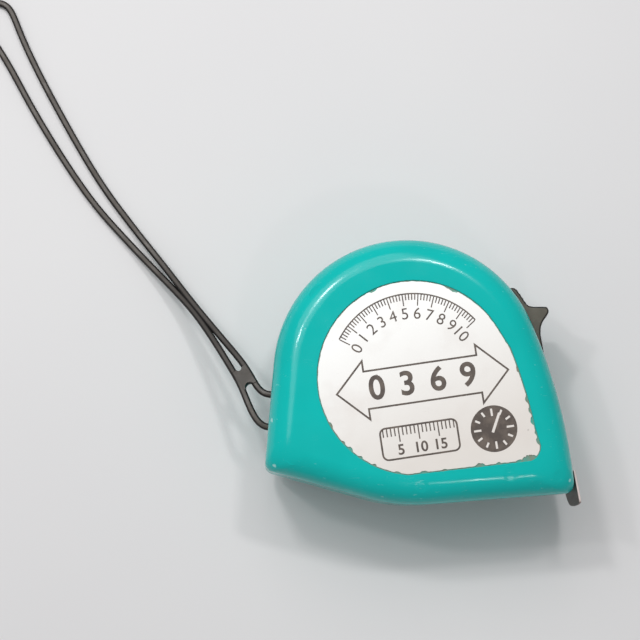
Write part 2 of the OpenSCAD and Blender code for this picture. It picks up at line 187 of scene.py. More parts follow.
def done(piece):
    """Leaves edit mode with doubles merged and every face turned outwards."""
    bpy.ops.mesh.select_all(action="SELECT")
    bpy.ops.mesh.remove_doubles(threshold=1e-7)
    bpy.ops.mesh.normals_make_consistent(inside=False)
    bpy.ops.object.mode_set(mode="OBJECT")
    return piece


def loft(name, rings):
    """A closed piece: a filled ring that is extruded again and again, on to each next ring."""
    bpy.ops.object.select_all(action="DESELECT")
    bpy.ops.mesh.primitive_circle_add(vertices=len(rings[0]), radius=MM, fill_type="NGON")
    piece = bpy.context.object
    piece.name = piece.data.name = name
    order = piece.data.attributes.new("order", "INT", "POINT")
    order.data.foreach_set("value", range(len(rings[0])))
    editing(piece)
    for number, ring in enumerate(rings):
        if number:
            bpy.ops.mesh.extrude_region_move()
        mesh = bmesh.from_edit_mesh(piece.data)
        place = mesh.verts.layers.int["order"]
        for corner in mesh.verts:
            if corner.select:
                corner.co = ring[corner[place]]
    bmesh.update_edit_mesh(piece.data)
    done(piece)
    piece.data.attributes.remove(piece.data.attributes["order"])
    return piece


def level(outline, z):
    """Ring of an outline at a height."""
    return [spot(p.x, p.y, z) for p in outline]


def drawn_in(outline, depth):
    """A closed outline moved inwards; depth is one measure, or one for each point."""
    depths = depth if isinstance(depth, list) else [depth] * len(outline)
    moved = []
    for i, point in enumerate(outline):
        before = (point - outline[i - 1]).normalized()
        after = (outline[(i + 1) % len(outline)] - point).normalized()
        along = (before + after).normalized()
        reach = min(1 / max(before.dot(along), 0.1), 1.4)
        moved.append(point + Vector((-along.y, along.x)) * depths[i] * reach)
    return moved


def prism(name, outline, low, high):
    return loft(name, [level(outline, low), level(outline, high)])


def turned(name, centre, profile, sides=48):
    """Round piece on an upright axis; profile is a list of [radius, height]."""
    return loft(name, [level(arc(centre, r, 0, 360 - 360 / sides, sides - 1), z) for r, z in profile])


def sector(name, section, start, end, count):
    """Part of a ring about the arch's centre; section is its [radius, height] outline."""
    return loft(name, [[spot(*(ARCH_C + polar(angle, r)), z) for r, z in section]
                       for angle in steps(start, end, count)])


def block_section(r0, r1, half):
    """Four-cornered section of a sector, half as high on each side of the middle plane."""
    return [(r0, MID_Z - half), (r1, MID_Z - half), (r1, MID_Z + half), (r0, MID_Z + half)]


def slot_outline(x0, x1, y0, y1, r):
    """Rectangle with rounded corners."""
    return (arc((x1 - r, y1 - r), r, 0, 90, 5) + arc((x0 + r, y1 - r), r, 90, 180, 5)
            + arc((x0 + r, y0 + r), r, 180, 270, 5) + arc((x1 - r, y0 + r), r, 270, 360, 5))


def flowing(points, count):
    """Points of a smooth curve through the points given, with count of them from each to the next."""
    curve = []
    last = len(points) - 1
    for i in range(last):
        a, b, c, d = points[max(i - 1, 0)], points[i], points[i + 1], points[min(i + 2, last)]
        for t in steps(0, 1, count)[:-1]:
            curve.append(0.5 * (2 * b + (c - a) * t + (2 * a - 5 * b + 4 * c - d) * t * t
                                + (3 * b - a - 3 * c + d) * t ** 3))
    return curve + [points[-1]]


def apply(piece, kind, **settings):
    """Adds a modifier and applies it at once."""
    only(piece)
    modifier = piece.modifiers.new(kind.title(), kind)
    for name, value in settings.items():
        setattr(modifier, name, value)
    bpy.ops.object.modifier_apply(modifier=modifier.name)
    return piece


def combine(piece, operation, tools):
    for tool in tools:
        apply(piece, "BOOLEAN", object=tool, operation=operation, solver="EXACT")
        bpy.data.objects.remove(tool)
    return piece


def cut(piece, *tools):
    return combine(piece, "DIFFERENCE", tools)


def fuse(piece, *tools):
    return combine(piece, "UNION", tools)


def join(name, *pieces):
    """Joins loose pieces into one object."""
    only(pieces[0])
    for piece in pieces:
        piece.select_set(True)
    bpy.ops.object.join()
    pieces[0].name = pieces[0].data.name = name
    return pieces[0]


def soften(piece, width, angle=50):
    """Rounds the edges that are sharper than an angle."""
    return apply(piece, "BEVEL", width=width * MM, segments=2, limit_method="ANGLE",
                 angle_limit=radians(angle), harden_normals=False)


def smooth(piece, angle):
    """Smooth shading with sharp edges kept, and normals that follow the larger faces."""
    only(piece)
    bpy.ops.object.shade_smooth_by_angle(angle=radians(angle))
    return apply(piece, "WEIGHTED_NORMAL", keep_sharp=True, weight=60)


def plain_number(text, size, depth, align, offset=0.0):
    """Mesh of a number in the built-in font, level with the x axis at half its height."""
    bpy.ops.object.select_all(action="DESELECT")
    bpy.ops.object.text_add()
    number = bpy.context.object
    number.data.body = text
    number.data.size = size * MM
    number.data.offset = offset * MM
    number.data.extrude = depth * MM
    number.data.align_x = align
    number.data.align_y = "CENTER"
    bpy.ops.object.convert(target="MESH")
    return number


def outfit(piece, body, slot, *finishes, replaces=()):
    """Gives a finished piece its materials and its body; the slot is not used."""
    if finishes:
        piece.data.materials.clear()
        for finish in finishes:
            piece.data.materials.append(finish)
    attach(piece, body)
    if replaces:
        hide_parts(*replaces)
    return piece


# ---- materials ----

def colour(*levels):
    """Linear colour from 0..255 display values."""
    return (*((c / 255 / 12.92) if c <= 10 else ((c / 255 + 0.055) / 1.055) ** 2.4 for c in levels), 1.0)


class Finish:
    """A material in the making. Constants go straight on to the sockets of its shader."""

    def __init__(self, name, **sockets):
        self.made = bpy.data.materials.new(name)
        self.made.use_nodes = True
        self.tree = self.made.node_tree
        self.shader = self.tree.nodes["Principled BSDF"]
        for socket, value in sockets.items():
            self.feed(self.shader, socket.replace("_", " "), value)
        self.place = self.stretched((1, 1, 1))

    def feed(self, node, socket, value):
        """Links a node's input to a socket, or sets it to a constant."""
        if isinstance(value, bpy.types.NodeSocket):
            self.tree.links.new(value, node.inputs[socket])
        else:
            node.inputs[socket].default_value = value

    def add(self, kind, inputs=None, **settings):
        """Adds a shader node, sets its settings, and sets or links its inputs."""
        node = self.tree.nodes.new("ShaderNode" + kind)
        for name, value in settings.items():
            setattr(node, name, value)
        for socket, value in (inputs or {}).items():
            self.feed(node, socket, value)
        return node

    def stretched(self, scale, turn=0.0):
        """Object coordinates, turned about the upright axis and scaled."""
        place = self.add("TexCoord").outputs["Object"]
        turns = (0, 0, radians(turn))
        return self.add("Mapping", {"Vector": place, "Scale": scale, "Rotation": turns}).outputs["Vector"]

    def cloud(self, scale, detail, rough=0.5, place=None):
        """Noise of 0..1, even all round unless it gets a stretched place."""
        return self.add("TexNoise", {"Vector": self.place if place is None else place, "Scale": scale,
                                     "Detail": detail, "Roughness": rough}).outputs["Fac"]

    def span(self, value, low, high, out_low=0.0, out_high=1.0):
        """Maps low..high of a value on to out_low..out_high, held at the ends."""
        return self.add("MapRange", {"Value": value, "From Min": low, "From Max": high,
                                     "To Min": out_low, "To Max": out_high}).outputs["Result"]

    def patches(self, scale, detail, low, high, out_low=0.0, out_high=1.0, rough=0.5):
        """Cloudy patches: noise with its low..high mapped on to out_low..out_high."""
        return self.span(self.cloud(scale, detail, rough), low, high, out_low, out_high)

    def sums(self, operation, a, b=0.0):
        return self.add("Math", {0: a, 1: b}, operation=operation).outputs[0]

    def times(self, a, b):
        return self.sums("MULTIPLY", a, b)

    def vector(self, operation, output, *inputs):
        return self.add("VectorMath", dict(enumerate(inputs)), operation=operation).outputs[output]

    def coordinate(self, vector, axis):
        return self.add("SeparateXYZ", {"Vector": vector}).outputs[axis]

    def upness(self):
        """Upright part of the surface's normal: 1 where it faces up, -1 where it faces down."""
        return self.coordinate(self.add("NewGeometry").outputs["Normal"], "Z")

    def mixed(self, share, first, second):
        """Colour between two colours or colour sockets."""
        return self.add("Mix", {0: share, 6: first, 7: second}, data_type="RGBA").outputs[2]

    def marked(self, tone, *marks):
        """A colour with marks laid over it, each given as [where, how strongly, its colour]."""
        for where, strength, shade in marks:
            tone = self.mixed(self.times(where, strength), tone, shade)
        return tone

    def hairlines(self, value, thin):
        """Thin lines along the middle level of a noise."""
        return self.span(self.sums("ABSOLUTE", self.sums("SUBTRACT", value, 0.5)), thin, 0.0)

    def scratches(self, scale, turn):
        """Sparse fine scratches that run in one direction."""
        line = self.hairlines(self.cloud(scale, 1.0, place=self.stretched((1, 9, 1), turn)), 0.006)
        return self.times(line, self.patches(scale * 0.5, 2.0, 0.64, 0.70))

    def specks(self, scale, size, share):
        """Small ragged specks, in a share of the cells of a grid of that scale."""
        ragged = self.add("TexNoise", {"Vector": self.place, "Scale": scale * 9, "Detail": 2.0})
        shifted = self.vector("SUBTRACT", "Vector", ragged.outputs["Color"], (0.5, 0.5, 0.5))
        moved = self.vector("MULTIPLY_ADD", "Vector", shifted, (0.12 / scale,) * 3, self.place)
        cells = self.add("TexVoronoi", {"Vector": moved, "Scale": scale, "Randomness": 1.0})
        chance = self.add("SeparateColor", {"Color": cells.outputs["Color"]}).outputs["Red"]
        return self.times(self.span(cells.outputs["Distance"], size, size * 0.55),
                          self.span(chance, 1 - share, 1 - share + 0.02))

    def complete(self, tone, roughness=None, relief=None, depth=0.0, strength=1.0):
        """Gives the shader its colour, its roughness and its fine relief, with depth in metres."""
        self.feed(self.shader, "Base Color", tone)
        if roughness is not None:
            self.feed(self.shader, "Roughness", roughness)
        if relief is not None:
            bump = self.add("Bump", {"Height": relief, "Distance": depth, "Strength": strength})
            self.feed(self.shader, "Normal", bump.outputs["Normal"])
        return self.made


def teal_case_plastic():
    """Glossy moulded ABS with handling scuffs, nicks, dust specks and rubbed edges."""
    teal = Finish("teal_case_plastic", Metallic=0.0, IOR=1.4)
    pale = colour(150, 225, 218)
    scuffs = teal.scratches(190.0, 25)
    height = teal.coordinate(teal.place, "Z")
    on_edge = teal.times(teal.span(height, (FRONT_Z - 0.05) * MM, (FRONT_Z - 0.5) * MM),
                         teal.span(height, (FRONT_Z - 5.0) * MM, (FRONT_Z - 2.5) * MM))
    rubs = teal.span(teal.cloud(520.0, 6.0, 0.7, teal.stretched((1, 2.2, 2.2))), 0.63, 0.72)
    tone = teal.mixed(teal.patches(45.0, 4.0, 0.35, 0.68), colour(0, 178, 172), colour(2, 186, 180))
    tone = teal.marked(tone, (scuffs, 0.45, pale), (teal.scratches(240.0, -40), 0.40, pale),
                       (teal.specks(210.0, 0.12, 0.14), 0.55, colour(205, 240, 236)),
                       (teal.specks(105.0, 0.07, 0.09), 0.7, colour(196, 236, 230)),
                       (teal.times(on_edge, rubs), 0.5, pale))
    wear = teal.sums("ADD", teal.patches(120.0, 5.0, 0.3, 0.75, 0.12, 0.22), teal.times(scuffs, 0.25))
    ripple = teal.sums("ADD", teal.cloud(70.0, 2.0), teal.times(teal.cloud(1600.0, 2.0), 0.05))
    along_toe = teal.span(teal.coordinate(teal.place, "Y"), CORNER.y + 10 * MM, CORNER.y + 8 * MM, 0.1, 0.8)
    dents = teal.times(teal.specks(190.0, 0.32, 0.5), along_toe)
    return teal.complete(tone, wear, teal.sums("SUBTRACT", ripple, dents), 0.00022, 0.35)


def grimy_recess_plastic():
    """The same plastic at the bottom of the label's recess, darkened by grime and by painted shade."""
    shaded_grimy_finish = Finish("grimy_recess_plastic", Metallic=0.0)
    grime_and_shade_mask = shaded_grimy_finish.patches(420.0, 5.0, 0.38, 0.62, rough=0.65)
    # Grey-brown mottle on the recess floor: partly grime, partly painted shade of the recess.
    tone = shaded_grimy_finish.mixed(grime_and_shade_mask, colour(70, 160, 146), colour(132, 130, 112))
    gloss = shaded_grimy_finish.patches(900.0, 3.0, 0.3, 0.7, 0.55, 0.8)
    return shaded_grimy_finish.complete(tone, gloss, shaded_grimy_finish.cloud(1500.0, 3.0), 0.00005, 0.6)


def white_label_sheet():
    """Satin white printed sheet with painted light, white towards the upper left and a warm grey towards the
    base, and with soiled patches, specks and scratches.
    """
    sheet = Finish("white_label_sheet", Metallic=0.0, IOR=1.5)
    across = sheet.vector("DOT_PRODUCT", "Value", sheet.place, (-0.35, 0.94, 0.0))
    # Painted light: the sheet's colour runs from a warm grey at the base to white at the upper left.
    tone = sheet.mixed(sheet.span(across, -0.018, 0.016), colour(226, 220, 214), colour(253, 253, 251))
    tone = sheet.marked(tone, (sheet.patches(90.0, 4.0, 0.52, 0.78), 0.35, colour(214, 203, 196)),
                        (sheet.specks(330.0, 0.10, 0.07), 0.45, colour(150, 142, 134)),
                        (sheet.scratches(420.0, 60), 0.25, colour(176, 168, 160)))
    gloss = sheet.patches(260.0, 4.0, 0.3, 0.7, 0.32, 0.46)
    return sheet.complete(tone, gloss, sheet.cloud(500.0, 3.0), 0.00003, 0.4)


def printing_ink(name, dark, pale):
    """Screen-printed ink that has worn thin in places."""
    ink = Finish(name, Metallic=0.0)
    tone = ink.mixed(ink.patches(330.0, 5.0, 0.42, 0.72, rough=0.65), dark, pale)
    return ink.complete(tone, 0.45, ink.cloud(2500.0, 2.0), 0.00001, 0.4)


def dusty_black_plastic(name, dark, dust, grain, dust_and_light_from, dust_and_light_to):
    """Fine-grained black plastic; a paler film of dust and painted light on the lit tops comes in between two
    levels of upness.
    """
    black = Finish(name, Metallic=0.0, IOR=1.46)
    # Paler colour on the faces that face up: partly dust, partly painted light on the lit tops.
    dust_and_light_film = black.span(black.upness(), dust_and_light_from, dust_and_light_to)
    tone = black.marked(dark, (dust_and_light_film, black.patches(420.0, 4.0, 0.2, 0.6, 0.66, 1.0), dust),
                        (black.scratches(500.0, 70), 0.25, colour(150, 146, 134)))
    gloss = black.patches(300.0, 3.0, 0.3, 0.7, 0.38, 0.56)
    return black.complete(tone, gloss, black.cloud(grain, 2.0), 0.00004, 0.5)


def hook_steel():
    """Nickelled plate: bright cut edges, broad faces painted dark brown as shade and as the reflection of a
    dark surround, and brown stains from handling.
    """
    steel = Finish("hook_steel", Metallic=1.0)
    lines = steel.cloud(900.0, 3.0, place=steel.stretched((1, 8, 1)))
    # The broad faces' dark brown is painted shade and painted reflection of a dark surround.
    face = steel.mixed(steel.span(lines, 0.3, 0.7), colour(92, 70, 64), colour(122, 100, 92))
    upright = steel.sums("ABSOLUTE", steel.upness())
    tone = steel.marked(steel.mixed(steel.span(upright, 0.5, 0.8), face, colour(226, 212, 208)),
                        (steel.patches(600.0, 6.0, 0.60, 0.72, rough=0.7), 0.6, colour(112, 84, 70)))
    steel.feed(steel.shader, "Metallic", steel.span(upright, 0.5, 0.8, 1.0, 0.35))
    return steel.complete(tone, steel.span(lines, 0.25, 0.75, 0.24, 0.40), lines, 0.00001, 0.35)


def plated_steel(name, bright, dull, stretch, rust=0.0):
    """Plated steel with fine marks along one axis and a few dull spots."""
    steel = Finish(name, Metallic=1.0)
    lines = steel.cloud(900.0, 3.0, place=steel.stretched(stretch))
    tone = steel.mixed(steel.span(lines, 0.3, 0.7), (*dull, 1), (*bright, 1))
    if rust:
        spots = steel.patches(600.0, 6.0, 0.60, 0.72, rough=0.7)
        tone = steel.marked(tone, (spots, rust, colour(118, 92, 72)))
    return steel.complete(tone, steel.span(lines, 0.25, 0.75, 0.2, 0.38), lines, 0.00001, 0.35)


def blade_enamel():
    """Yellow enamel on spring steel, with run marks along the blade."""
    enamel = Finish("blade_enamel", Metallic=0.0, Coat_Weight=0.35, Coat_Roughness=0.18)
    runs = enamel.cloud(120.0, 2.0, place=enamel.stretched((1, 30, 30)))
    tone = enamel.mixed(enamel.patches(60.0, 3.0, 0.3, 0.7), colour(246, 196, 22), colour(250, 208, 40))
    tone = enamel.marked(tone, (enamel.hairlines(runs, 0.008), 0.35, colour(190, 150, 40)))
    return enamel.complete(tone, enamel.patches(240.0, 4.0, 0.3, 0.7, 0.26, 0.42), runs, 0.00001, 0.3)


def moulded_plastic(name, first, second, roughness, grain):
    """Plain moulded plastic with a fine grain and a slight mottle."""
    plain = Finish(name, Metallic=0.0)
    tone = plain.mixed(plain.patches(140.0, 4.0, 0.3, 0.7), (*first, 1), (*second, 1))
    gloss = plain.patches(400.0, 3.0, 0.3, 0.7, roughness - 0.07, roughness + 0.07)
    return plain.complete(tone, gloss, plain.cloud(grain, 3.0), 0.00002, 0.5)


def pale_floor_paint():
    floor = Finish("pale_floor_paint")
    tone = floor.mixed(floor.cloud(9.0, 3.0), (0.70, 0.69, 0.70, 1), (0.76, 0.75, 0.75, 1))
    return floor.complete(tone, 0.7)


# ---- case ----

def case_outline(inset, round_r):
    """Outline of the case moved in by inset, with heel and toe rounded to round_r."""
    half = (HEEL_NORMAL - REAR_TANGENT) / 2
    to_heel = (REAR_TANGENT + HEEL_NORMAL) / 2 - 180
    heel = HEEL_C + polar(to_heel, (inset + round_r - CORNER_R) / cos(radians(half)))
    toe_angle = degrees(asin((inset + round_r - FRONT_C.y) / (FRONT_R - inset - round_r)))
    toe = FRONT_C + polar(toe_angle, FRONT_R - inset - round_r)
    slope = radians(HEEL_NORMAL)
    blend_x = (HEEL_C.x * cos(slope) + HEEL_C.y * sin(slope) + CORNER_R
               - BLEND_R * (1 + sin(slope))) / cos(slope)
    return (arc(ARCH_C, ARCH_R - inset, FRONT_TANGENT, REAR_TANGENT, 110)
            + arc(heel, round_r, REAR_TANGENT, HEEL_NORMAL, 14)
            + arc((blend_x, BLEND_R), BLEND_R - inset, HEEL_NORMAL + 1, 270, 12)
            + arc(toe, round_r, 272, 360 + toe_angle, 14)
            + arc(FRONT_C, FRONT_R - inset, toe_angle + 1, FRONT_TANGENT - 1, 18))


def edge_rings(inset, face_z, towards, round_r, count=14):
    """Rings over the rounded edge of a half of the case, from its side to its flat face."""
    rim_r = max(CORNER_R - inset, 0.8)
    rings = []
    for a in steps(0, pi / 2, count):
        outline = case_outline(inset + round_r * (1 - cos(a)), rim_r + 3 * sin(a))
        rings.append(level(outline, face_z + towards * round_r * (1 - sin(a))))
    return rings


def case_half(name, face_z, towards, rim):
    """Hollow half of the case; rim holds the rings of its joint as [inset, height]."""
    joint = [level(case_outline(inset, max(CORNER_R - inset, 0.8)), z) for inset, z in rim]
    return loft(name, joint + edge_rings(0, face_z, towards, EDGE_R))


def cavity(face_z, towards, rim):
    """Solid of the hollow inside a half, started by the rings in rim."""
    opening = [level(case_outline(inset, 0.8), z) for inset, z in rim]
    return loft("cavity", opening + edge_rings(WALL, face_z + towards * WALL, towards, EDGE_R - WALL, 8))


def flared_slot(name, wall_x, y0, y1, half, r, rings):
    """Tool for a slot through a wall that stands at wall_x(y); a ring is [depth past it, growth]."""
    outlines = []
    for depth, grow in rings:
        outline = slot_outline(y0 - grow, y1 + grow, MID_Z - half - grow, MID_Z + half + grow, r + grow)
        outlines.append([spot(wall_x(p.x) + depth, p.x, p.y) for p in outline])
    return loft(name, outlines)


def mouth_tool():
    """The blade's mouth, flared at the front wall."""
    rings = [(-10, 0), (-0.5, 0), (-0.1, 0.25), (4, 0.25)]
    return flared_slot("mouth", lambda y: MOUTH_X, 1.9, 6, 10, 0.5, rings)


def lock_window_tools():
    """The lock's window through the arch's wall, and the soft edge around it."""
    half = 6.3
    low, high = MID_Z - half, MID_Z + half
    start_turn, end_turn = LOCK_WINDOW
    through = sector("window", block_section(28.6, 36.9, half), start_turn, end_turn, 32)
    inner, outer = ARCH_R - 0.35, ARCH_R + 0.35
    flare = [(inner, low), (outer, low - 0.7), (outer, high + 0.7), (inner, high)]
    return through, sector("window_edge", flare, start_turn - 0.3, end_turn + 0.3, 32)


def rear_wall_x(y):
    """Place of the straight rear wall at a height above the base."""
    top, foot = ARCH_C + polar(REAR_TANGENT, ARCH_R), HEEL_C + polar(REAR_TANGENT, CORNER_R)
    return foot.x + (top.x - foot.x) * (y - foot.y) / (top.y - foot.y)


def pin_window_tool():
    """The strap's window in the rear wall, in front of the pin."""
    rings = [(-2, 0.4), (0.05, 0.4), (0.45, 0), (8.5, 0)]
    return flared_slot("pin_window", rear_wall_x, 18.4, 32.4, 4, 1, rings)


def openings():
    """Tools for the openings that both halves share."""
    return (mouth_tool(), *lock_window_tools(), pin_window_tool(),
            turned("pin_bore", PIN, [(2.4, MID_Z - 7), (2.4, MID_Z + 7)]))


def add_screw_bosses(shell, low, high):
    for centre, radius in zip(SCREWS, BOSS_RADII):
        fuse(shell, turned("boss", centre, [(radius, low), (radius, high)], 32))


def pin_boss(low, high):
    """Boss that holds one end of the strap's pin, kept within the rear wall."""
    ring = [Vector((max(p.x, rear_wall_x(p.y) + 0.5), p.y)) for p in arc(PIN, 3.6, 0, 348.75, 31)]
    return prism("pin_boss", ring, low, high)


def label_edge(grow, count=1):
    """Outline of the label: the round part, the toe's corner and the bow along the front."""
    return (arc(LABEL_C, LABEL_R + grow, 27, 262, 60 * count)
            + arc((59.3, 11.1), 3 + grow, 273, 365, 8 * count)
            + arc(FRONT_C, 116.3 + grow, 7.5, 17, 9 * count))


def grime_recess(shell):
    """Gives the floor of the label's recess the second of the shell's two materials, with its grime and
    painted shade.
    """
    for face in shell.data.polygons:
        if all(abs(shell.data.vertices[corner].co.z - LABEL_FLOOR * MM) < 2e-6 for corner in face.vertices):
            face.material_index = 1


def front_shell():
    shell = case_half("front_shell_moulding", FRONT_Z, -1, [(1.0, MID_Z), (0.22, MID_Z), (0.0, MID_Z + 0.22)])
    cut(shell, cavity(FRONT_Z, -1, [(1.0, MID_Z - 1), (1.0, MID_Z + 1.3), (WALL, MID_Z + 1.3)]))
    add_screw_bosses(shell, MID_Z, FRONT_Z - 1)
    fuse(shell, turned("socket", ARCH_C, [(5.0, FRONT_Z - WALL - 1.6), (5.0, FRONT_Z - 1)]),
         pin_boss(MID_Z + 4, MID_Z + 9))
    recess = [(0.18, LABEL_FLOOR), (0.18, FRONT_Z - 0.12), (0.32, FRONT_Z + 0.02), (0.32, FRONT_Z + 1)]
    cut(shell, loft("recess", [level(label_edge(grow), z) for grow, z in recess]),
        turned("post_bore", ARCH_C, [(3.2, 0), (3.2, FRONT_Z - WALL - 0.4)]))
    for centre in SCREWS:
        cut(shell, turned("screw_bore", centre, [(1.0, 0), (1.0, 25)], 24))
    return smooth(cut(shell, *openings()), 32)


def rear_shell():
    shell = case_half("rear_shell_moulding", BACK_Z, 1,
                      [(1.1, MID_Z + 1.2), (1.1, MID_Z), (0.22, MID_Z), (0.0, MID_Z - 0.22)])
    cut(shell, cavity(BACK_Z, 1, [(WALL, MID_Z + 2), (WALL, MID_Z)]))
    add_screw_bosses(shell, BACK_Z + 1, MID_Z)
    fuse(shell, turned("socket", ARCH_C, [(5.0, BACK_Z + 1), (5.0, BACK_Z + 3.4)]),
         pin_boss(MID_Z - 9, MID_Z - 4))
    for centre in CLIP_SCREWS:
        fuse(shell, turned("clip_boss", centre, [(2.4, BACK_Z + 1), (2.4, BACK_Z + 3.3)], 32))
        cut(shell, turned("clip_screw_bore", centre, [(1.1, BACK_Z - 1), (1.1, BACK_Z + 3)], 24))
    for centre in SCREWS:
        well = [(2.4, BACK_Z - 1), (2.4, BACK_Z - 0.02), (2.0, BACK_Z + 0.35), (2.0, BACK_Z + 4.1),
                (1.15, BACK_Z + 4.1), (1.15, MID_Z + 3)]
        cut(shell, turned("screw_well", centre, well, 40))
    cut(shell, turned("post_bore", ARCH_C, [(3.2, BACK_Z + 2.6), (3.2, MID_Z)]),
        turned("post_screw_well", ARCH_C, [(2.8, BACK_Z - 0.01), (1.5, BACK_Z + 1.4), (1.5, BACK_Z + 5)], 40),
        *openings())
    return smooth(shell, 32)


# ---- label and its print ----

# Places where the label's edge has chipped off, as [x, y, reach along the edge, depth]
LABEL_CHIPS = [
    (27.4, 49.1, 0.9, 0.4), (45.6, 48.0, 1.2, 0.45), (44.3, 49.0, 0.5, 0.25), (14.9, 19.2, 0.9, 0.4),
    (17.6, 15.0, 0.6, 0.4), (19.2, 13.5, 0.7, 0.5), (21.7, 11.7, 0.5, 0.5), (24.6, 9.7, 0.5, 0.35),
    (29.6, 7.6, 0.6, 0.3), (35.6, 7.1, 0.8, 0.35), (40.2, 7.2, 0.5, 0.25), (48.4, 7.6, 1.0, 0.6),
    (52.6, 7.8, 0.5, 0.3), (59.6, 8.6, 1.7, 1.1), (57.4, 8.2, 0.8, 0.35), (62.3, 12.4, 0.8, 0.5),
    (62.2, 14.4, 0.7, 0.4), (61.4, 17.0, 0.9, 0.55), (61.2, 19.4, 0.9, 0.35), (60.6, 22.0, 0.8, 0.4),
    (58.4, 28.7, 0.8, 0.3), (56.4, 34.0, 0.6, 0.2)]


def roughness_at(point, scale, layer):
    """Noise of -1..1 at a point of the label's edge."""
    return noise.noise(Vector((point.x * scale, point.y * scale, layer)))


def chipped_edge():
    """The label's outline with chips bitten out of it and a slightly torn line all round."""
    clean = []
    corners = label_edge(0, 5)
    for a, b in zip(corners, corners[1:] + corners[:1]):
        clean += steps(a, b, max(1, round((b - a).length / 0.3)))[:-1]
    depths = []
    for point in clean:
        depth = 0.05 + 0.09 * roughness_at(point, 1.3, 0.5)
        for x, y, reach, bite in LABEL_CHIPS:
            near = (point - Vector((x, y))).length / reach
            if near < 1:
                depth += bite * sqrt(1 - near * near) * (1 + 0.35 * roughness_at(point, 4, 2.0))
        depths.append(depth)
    return drawn_in(clean, depths)


def label_sheet():
    """The label's sheet, with its upper edge turned down all round."""
    rim = 0.06
    edge = chipped_edge()
    sheet = loft("label_sheet", [level(edge, LABEL_FLOOR), level(edge, LABEL_TOP - rim),
                                 level(drawn_in(edge, rim), LABEL_TOP)])
    return smooth(sheet, 30)


def on_label(x, y):
    """Place on the label from print measures, which run on a line that is turned a little."""
    return PRINT_C + swung(Vector((x, y)), PRINT_TURN)


def ink(name, outline, low=LABEL_TOP - 0.01, high=LABEL_TOP + 0.018):
    """A printed shape."""
    return prism(name, [on_label(p.x, p.y) for p in outline], low, high)


def ink_line(name, outline, hole):
    """A printed line between an outline and the outline of its open middle."""
    return cut(ink(name, outline), ink("hole", hole, LABEL_TOP - 0.11, LABEL_TOP + 0.118))


def numeral(text, x, y, size, bold=BOLD, turn=0.0):
    """A printed number whose middle is at x, y on the label."""
    number = plain_number(text, size, 0.014, "CENTER", size * bold)
    middle = on_label(x, y)
    number.data.transform(Matrix.Translation(spot(middle.x, middle.y, LABEL_TOP + 0.004))
                          @ Matrix.Rotation(radians(PRINT_TURN + turn), 4, "Z"))
    return number


def bar(x0, x1, y0, y1):
    return [Vector((x1, y1)), Vector((x0, y1)), Vector((x0, y0)), Vector((x1, y0))]


def spoke(centre, turn, start, end, half):
    """Outline of a narrow bar that points away from a centre."""
    return [centre + swung(p, turn) for p in bar(start, end, -half, half)]


def arc_scale():
    """Scale along the label's round top: a line, fifty divisions and the numbers 0 to 10."""
    centre = swung(LABEL_C - PRINT_C, -PRINT_TURN)
    first, step, radius, line = 145.0, -2.2, 19.3, 0.32
    last = first + 50 * step
    outline = arc(centre, radius, first, last, 50) + arc(centre, radius - line, last, first, 50)
    parts = [ink("scale_line", outline)]
    for i in range(51):
        length = 2.9 if i % 5 == 0 else 1.6
        parts.append(ink("scale_tick", spoke(centre, first + step * i, radius - length, radius - 0.3, 0.13)))
    for i in range(11):
        turn = first + 5 * step * i
        place = centre + polar(turn, 14.5)
        parts.append(numeral(str(i), place.x, place.y, 3.7, 0.0, turn - 90))
    return parts


def arrow_outline(inset):
    """Double arrow with right-angled heads, moved in by inset."""
    tip, neck = 20.0 - inset * sqrt(2), 12.8 + inset
    head, shaft = 7.2 - inset * (1 + sqrt(2)), 4.5 - inset
    half = [Vector((neck, -head)), Vector((tip, 0)), Vector((neck, head)), Vector((neck, shaft))]
    mirrored = [Vector((-p.x, p.y)) for p in half[::-1]]
    outline = half + mirrored + [Vector((-neck, -shaft)), Vector((neck, -shaft))]
    return [Vector((0.2, 3.6)) + p for p in outline]


def arrow_row():
    """Outlined double arrow with a row of bold numbers in it."""
    line = ink_line("arrow", arrow_outline(0), arrow_outline(0.42))
    return [line] + [numeral(str(3 * i), 0.2 + 7.0 * (i - 1.5), 3.6, 7.6) for i in range(4)]


def ruler():
    """Outlined ruler with twenty divisions."""
    x0, x1, y0, y1, line = -11.4, 6.6, -13.0, -5.4, 0.42
    parts = [ink_line("ruler", slot_outline(x0, x1, y0, y1, 1.5),
                      slot_outline(x0 + line, x1 - line, y0 + line, y1 - line, 1.5 - line))]
    for i in range(1, 20):
        x = x0 + i * (x1 - x0) / 20
        length = 3.2 if i % 5 == 0 else 1.8
        parts.append(ink("ruler_tick", bar(x - 0.14, x + 0.14, y1 - line - length, y1 - line + 0.02)))
    for i in range(1, 4):
        parts.append(numeral(str(5 * i), x0 + i * (x1 - x0) / 4, y0 + 2.1, 3.3))
    return parts


def dial():
    """Dark disc with pale divisions and a pale hand."""
    centre, radius = Vector((14.6, -9.2)), 5.3
    disc = ink("dial", arc(centre, radius, 0, 352.5, 47))
    gaps = [spoke(centre, 30 * i, radius - (1.9 if i % 3 else 2.4), radius - 0.7, 0.24) for i in range(12)]
    gaps.append(spoke(centre, 63, -0.9, radius - 1.5, 0.3))
    return [cut(disc, *(ink("gap", gap, LABEL_TOP - 0.1, LABEL_TOP + 0.1) for gap in gaps))]


def label_print():
    """Generic print: a scale along the top, a double arrow with numbers, a ruler and a dial."""
    return join("label_print", *arc_scale(), *arrow_row(), *ruler(), *dial())


# ---- turned fixings ----

def cross_recess(centre, z, size):
    """Tools for a cross recess that narrows as it goes in."""
    arms = []
    for turn in (0, 90):
        wide = [centre + swung(p, turn) for p in bar(-size, size, -size * 0.24, size * 0.24)]
        deep = [centre + swung(p * 0.55, turn) for p in bar(-size, size, -size * 0.3, size * 0.3)]
        arms.append(loft("recess", [level(wide, z - 0.3), level(wide, z), level(deep, z + size * 0.9)]))
    return arms


